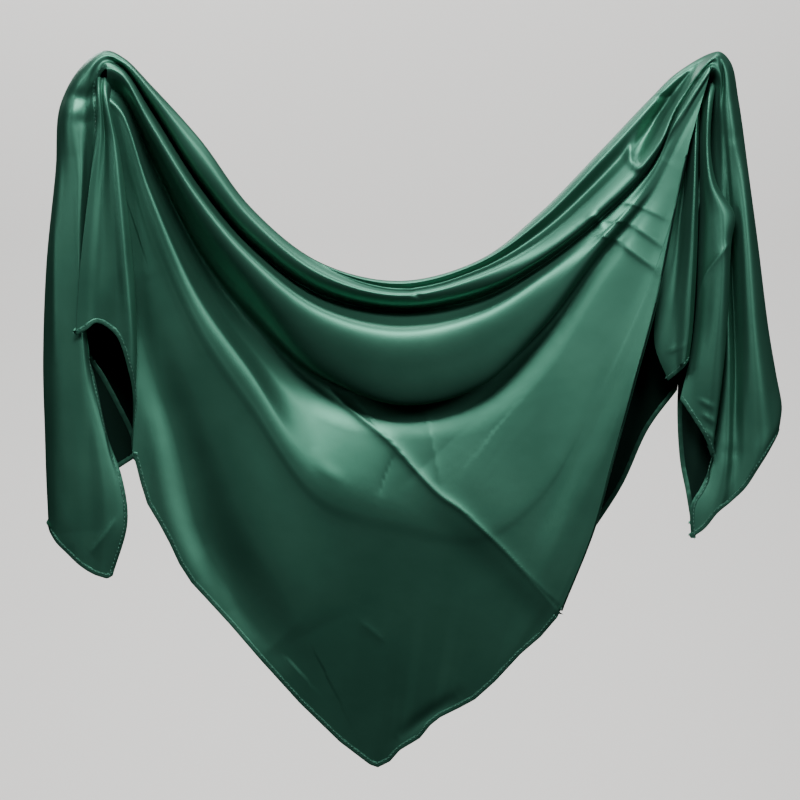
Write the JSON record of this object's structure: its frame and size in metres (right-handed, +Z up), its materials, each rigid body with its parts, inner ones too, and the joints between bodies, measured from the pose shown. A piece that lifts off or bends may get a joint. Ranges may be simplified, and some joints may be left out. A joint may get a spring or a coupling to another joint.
{
  "type": "headscarf",
  "caption": "Dark green satin headscarf, folded corner to corner and hung from two hold points in swags, with pointed tails at both ends.",
  "frame": {"origin": "The left hold, at the top of the cloth where it passes over whatever holds it up.", "axes": "+X runs to the right hold, along the hanging span, +Z is up and -Y is the front of the scarf."},
  "size_m": [0.5567, 0.0534, 0.5381],
  "materials": {
    "satin": "satin",
    "satin_inside": "matt"
  },
  "bodies": {
    "root": {"upper_roll": "satin", "second_swag": "satin", "third_swag": "satin", "front_fall": "satin", "back_fall": "satin_inside", "left_tail": "satin", "left_pleats": "satin", "right_tail": "satin", "right_outer_pleat": "satin", "right_inner_pleat": "satin"}
  },
  "joints": []
}
